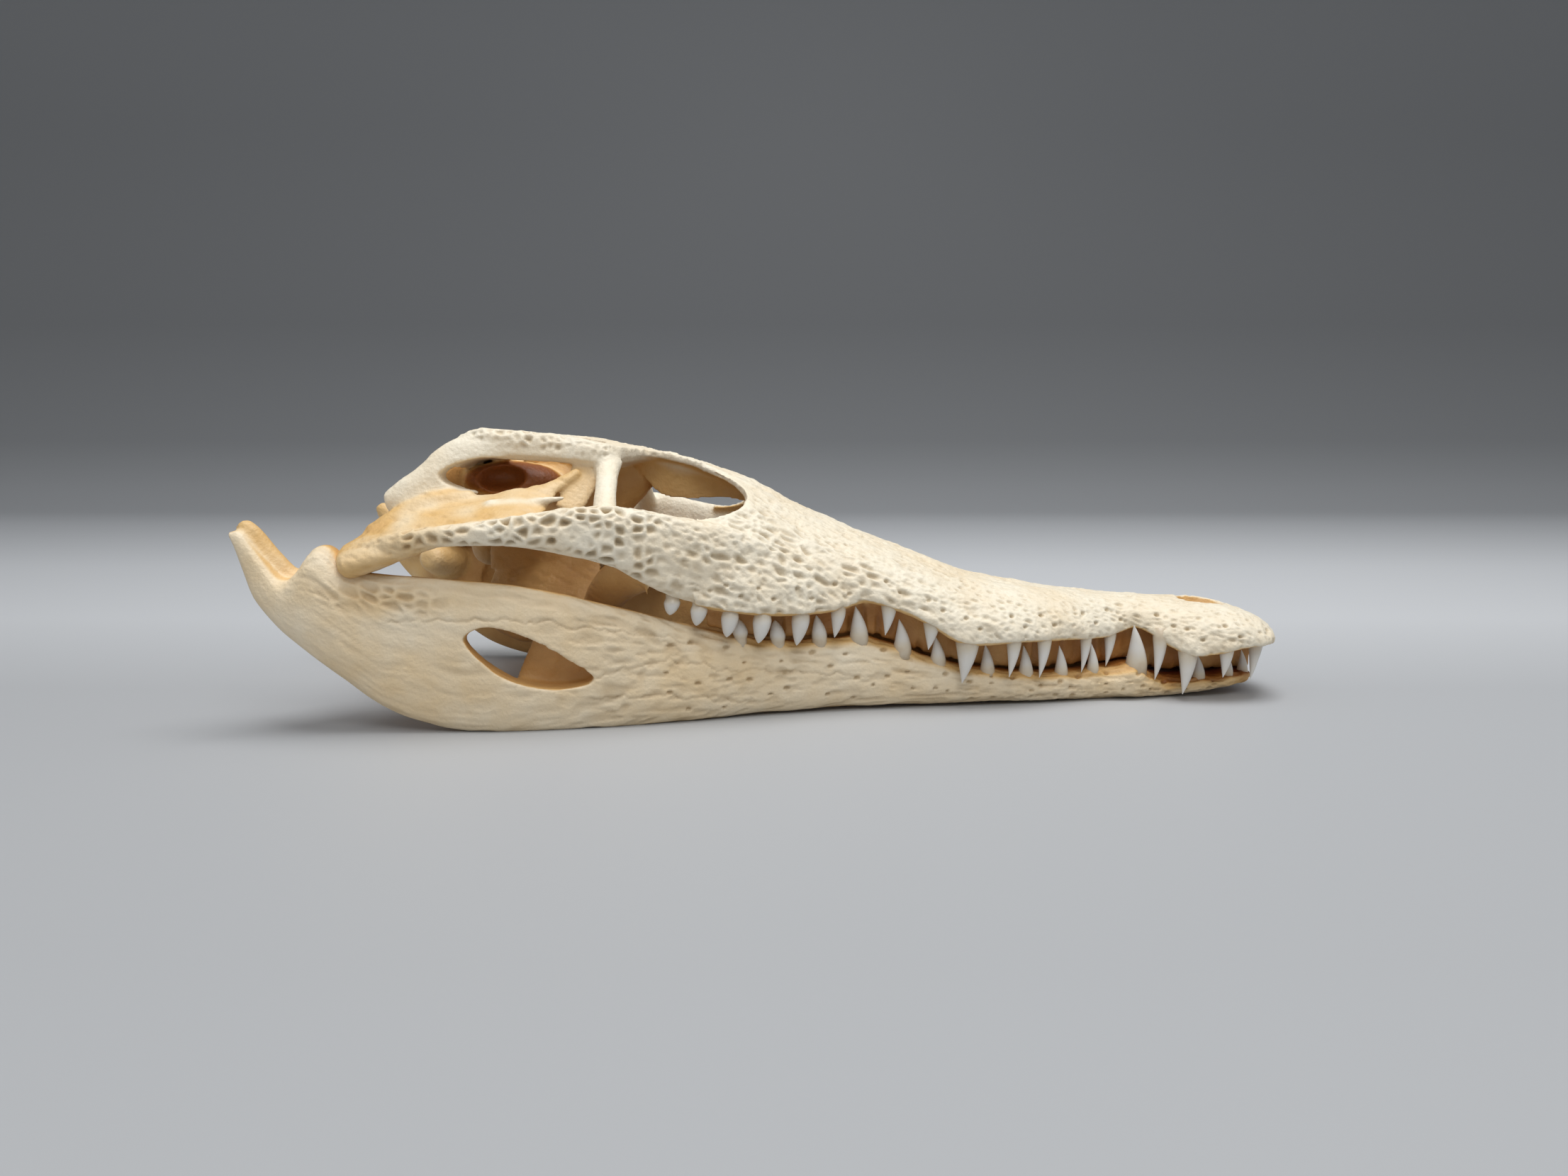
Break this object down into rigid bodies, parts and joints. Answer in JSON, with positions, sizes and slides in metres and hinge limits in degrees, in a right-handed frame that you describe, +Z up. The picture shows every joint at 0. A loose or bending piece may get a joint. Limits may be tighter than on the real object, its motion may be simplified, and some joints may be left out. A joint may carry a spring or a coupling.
{
  "type": "crocodile skull",
  "caption": "Dry crocodile skull with its lower jaw closed under it: long pitted snout, interlocking cone teeth, open eye sockets, flat table behind them and a window in each jaw side.",
  "frame": {"origin": "on the floor under the middle of the skull's length and width", "axes": "+X along the skull to the tip of the snout, +Y to the animal's left, +Z up"},
  "size_m": [0.3252, 0.132, 0.0886],
  "materials": {
    "bone": "dry cream-white bone, pitted, satin",
    "stained_bone": "tan to amber stained bone, satin"
  },
  "bodies": {
    "root": {"premaxilla": "bone", "maxilla": "bone", "hind_maxilla_right": "bone", "hind_maxilla_left": "bone", "jugal_right": "bone", "jugal_left": "bone", "frontal": "bone", "skull_table": "bone", "squamosal_right": "bone", "squamosal_left": "bone", "postorbital_bar_right": "bone", "postorbital_bar_left": "bone", "dentary_right": "bone", "dentary_left": "bone", "hind_jaw_right": "bone", "hind_jaw_left": "bone", "braincase": "stained_bone", "exoccipital_right": "stained_bone", "exoccipital_left": "stained_bone", "quadrate_right": "stained_bone", "quadrate_left": "stained_bone", "palatine": "stained_bone", "pterygoid_right": "stained_bone", "pterygoid_left": "stained_bone", "ectopterygoid_right": "stained_bone", "ectopterygoid_left": "stained_bone"}
  },
  "joints": []
}
